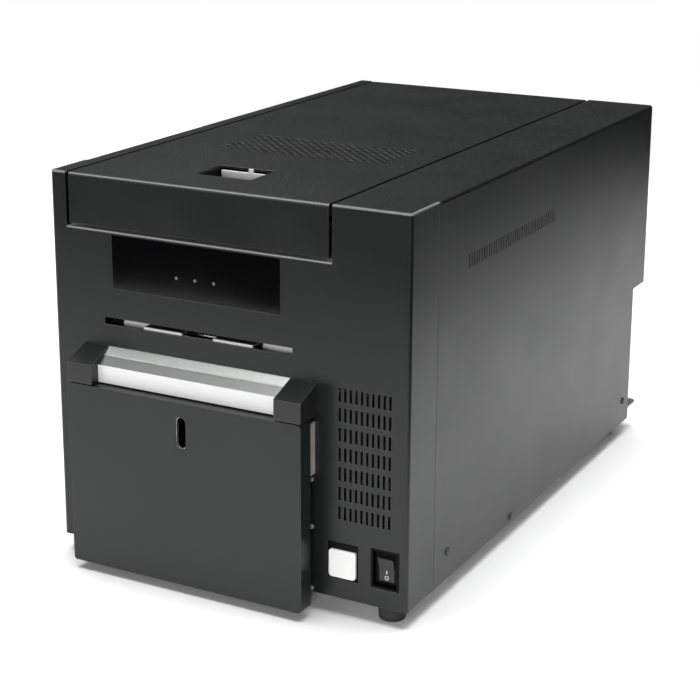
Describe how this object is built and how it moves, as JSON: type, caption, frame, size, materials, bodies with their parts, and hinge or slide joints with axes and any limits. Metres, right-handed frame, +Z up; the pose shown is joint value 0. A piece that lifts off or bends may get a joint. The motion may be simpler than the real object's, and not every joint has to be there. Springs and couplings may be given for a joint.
{
  "type": "id card printer",
  "caption": "Desktop card printer in black sheet steel with a hinged lid over the print mechanism, a side-hung card hopper door, a sloped output ledge, a push button and a power switch.",
  "frame": {"origin": "on the table, under the centre of the whole machine", "axes": "+X to the right of someone facing the front, +Y from the front to the back, +Z up"},
  "size_m": [0.2778, 0.4758, 0.28],
  "materials": {
    "case": "fine textured charcoal powder coat",
    "zinc": "zinc plated sheet",
    "steel": "ground steel",
    "aluminium": "satin",
    "black_plastic": "matt moulded black",
    "white_plastic": "matt moulded white",
    "grey_plastic": "matt moulded grey",
    "window": "gloss smoked window",
    "light": "clear light pipe",
    "rubber": "black rubber",
    "pale_rubber": "light grey roller rubber",
    "board": "green circuit board"
  },
  "bodies": {
    "housing": {"base_pan": "zinc", "front_panel": "case", "left_side_panel": "case", "right_side_panel": "case", "rear_panel": "case", "case_screws": "steel", "rubber_feet": "rubber", "display_window": "window", "status_lights": "light", "button_bezel": "black_plastic", "switch_body": "black_plastic", "output_bar": "aluminium", "end_caps": "black_plastic", "exit_guide": "white_plastic", "hopper_frame": "black_plastic", "card_hopper": "black_plastic", "latch_plate": "zinc", "door_hinge_bracket": "zinc", "door_hinge_pin": "steel", "lid_hinge_pin": "steel", "left_frame_plate": "zinc", "right_frame_plate": "zinc", "cross_bars": "steel", "roller_bushes": "black_plastic", "card_guide": "grey_plastic", "power_supply": "zinc", "main_board": "board", "fan_frame": "black_plastic", "feed_motor": "steel", "motor_bracket": "zinc", "ribbon_motor": "steel", "mains_inlet": "black_plastic", "data_sockets": "zinc", "drive_belts": "rubber"},
    "lid": {"lid_panel": "case", "lid_liner": "black_plastic", "head_tower": "zinc"},
    "lid_latch": {"lid_latch": "white_plastic"},
    "print_head": {"print_head": "aluminium"},
    "hopper_door": {"hopper_door": "case", "door_liner": "black_plastic", "door_strike": "zinc"},
    "open_button": {"open_button": "white_plastic"},
    "latch_slide": {"latch_slide": "black_plastic"},
    "power_rocker": {"power_rocker": "black_plastic"},
    "fan_rotor": {"fan_rotor": "black_plastic"},
    "platen": {"platen_shaft": "steel", "platen_sleeve": "rubber", "platen_gear": "white_plastic"},
    "exit_roller": {"exit_shaft": "steel", "exit_tyres": "pale_rubber"},
    "feed_roller": {"feed_shaft": "steel", "feed_tyres": "rubber"},
    "pick_roller": {"pick_shaft": "steel", "pick_tyres": "rubber"},
    "pinch_roller": {"pinch_roller": "steel"},
    "motor_pinion": {"motor_pinion": "steel"},
    "supply_hub": {"supply_hub": "grey_plastic"},
    "takeup_hub": {"takeup_hub": "grey_plastic"},
    "lifter": {"lifter_plate": "grey_plastic"}
  },
  "joints": [
    {"name": "lid_hinge", "type": "hinge", "parent": "housing", "child": "lid", "pos_m": [-0.02175, 0.2344, 0.266], "axis": [-1, 0, 0], "range_deg": [0, 75]},
    {"name": "lid_latch_pivot", "type": "hinge", "parent": "lid", "child": "lid_latch", "pos_m": [-0.022, -0.1414, 0.267], "axis": [1, 0, 0], "range_deg": [0, 15], "stiffness_Nm_per_rad": 0.2, "springref_deg": -11.46},
    {"name": "head_float", "type": "slide", "parent": "lid", "child": "print_head", "axis": [0, 0, 1], "range_m": [0, 0.003], "stiffness_N_per_m": 1500, "springref_m": -0.003},
    {"name": "door_hinge", "type": "hinge", "parent": "housing", "child": "hopper_door", "pos_m": [-0.1092, -0.2211, 0.0755], "axis": [0, 0, -1], "range_deg": [0, 90]},
    {"name": "open_button_push", "type": "slide", "parent": "housing", "child": "open_button", "axis": [0, 1, 0], "range_m": [0, 0.003], "stiffness_N_per_m": 400, "springref_m": -0.002},
    {"name": "latch_slide_move", "type": "slide", "parent": "housing", "child": "latch_slide", "axis": [1, 0, 0], "range_m": [0, 0.003]},
    {"name": "power_switch", "type": "hinge", "parent": "housing", "child": "power_rocker", "pos_m": [0.1212, -0.209, 0.0401], "axis": [-1, 0, 0], "range_deg": [0, 18]},
    {"name": "fan_spin", "type": "hinge", "parent": "housing", "child": "fan_rotor", "pos_m": [0.1056, 0.2237, 0.198], "axis": [0, 1, 0], "continuous": true},
    {"name": "platen_spin", "type": "hinge", "parent": "housing", "child": "platen", "pos_m": [-0.02175, -0.1116, 0.1705], "axis": [1, 0, 0], "continuous": true},
    {"name": "exit_spin", "type": "hinge", "parent": "housing", "child": "exit_roller", "pos_m": [-0.02175, -0.1956, 0.1725], "axis": [1, 0, 0], "continuous": true},
    {"name": "feed_spin", "type": "hinge", "parent": "housing", "child": "feed_roller", "pos_m": [-0.02175, -0.0306, 0.1715], "axis": [1, 0, 0], "continuous": true},
    {"name": "pick_spin", "type": "hinge", "parent": "housing", "child": "pick_roller", "pos_m": [-0.02175, -0.1556, 0.1366], "axis": [1, 0, 0], "continuous": true},
    {"name": "pinch_spin", "type": "hinge", "parent": "housing", "child": "pinch_roller", "pos_m": [-0.02175, -0.1956, 0.1853], "axis": [1, 0, 0], "continuous": true},
    {"name": "pinion_spin", "type": "hinge", "parent": "housing", "child": "motor_pinion", "pos_m": [0.08725, -0.1116, 0.1385], "axis": [1, 0, 0], "continuous": true},
    {"name": "takeup_spin", "type": "hinge", "parent": "housing", "child": "takeup_hub", "pos_m": [0.07025, -0.1706, 0.218], "axis": [1, 0, 0], "continuous": true},
    {"name": "supply_spin", "type": "hinge", "parent": "housing", "child": "supply_hub", "pos_m": [0.07025, -0.0506, 0.218], "axis": [1, 0, 0], "continuous": true},
    {"name": "lifter_slide", "type": "slide", "parent": "housing", "child": "lifter", "axis": [0, 0, 1], "range_m": [0, 0.095]}
  ],
  "couplings": [
    {"joint": "latch_slide_move", "follows": "open_button_push", "ratio": 1},
    {"joint": "exit_spin", "follows": "platen_spin", "ratio": 1},
    {"joint": "feed_spin", "follows": "platen_spin", "ratio": 1},
    {"joint": "pick_spin", "follows": "platen_spin", "ratio": 1},
    {"joint": "pinch_spin", "follows": "platen_spin", "ratio": -1},
    {"joint": "pinion_spin", "follows": "platen_spin", "ratio": -3}
  ]
}
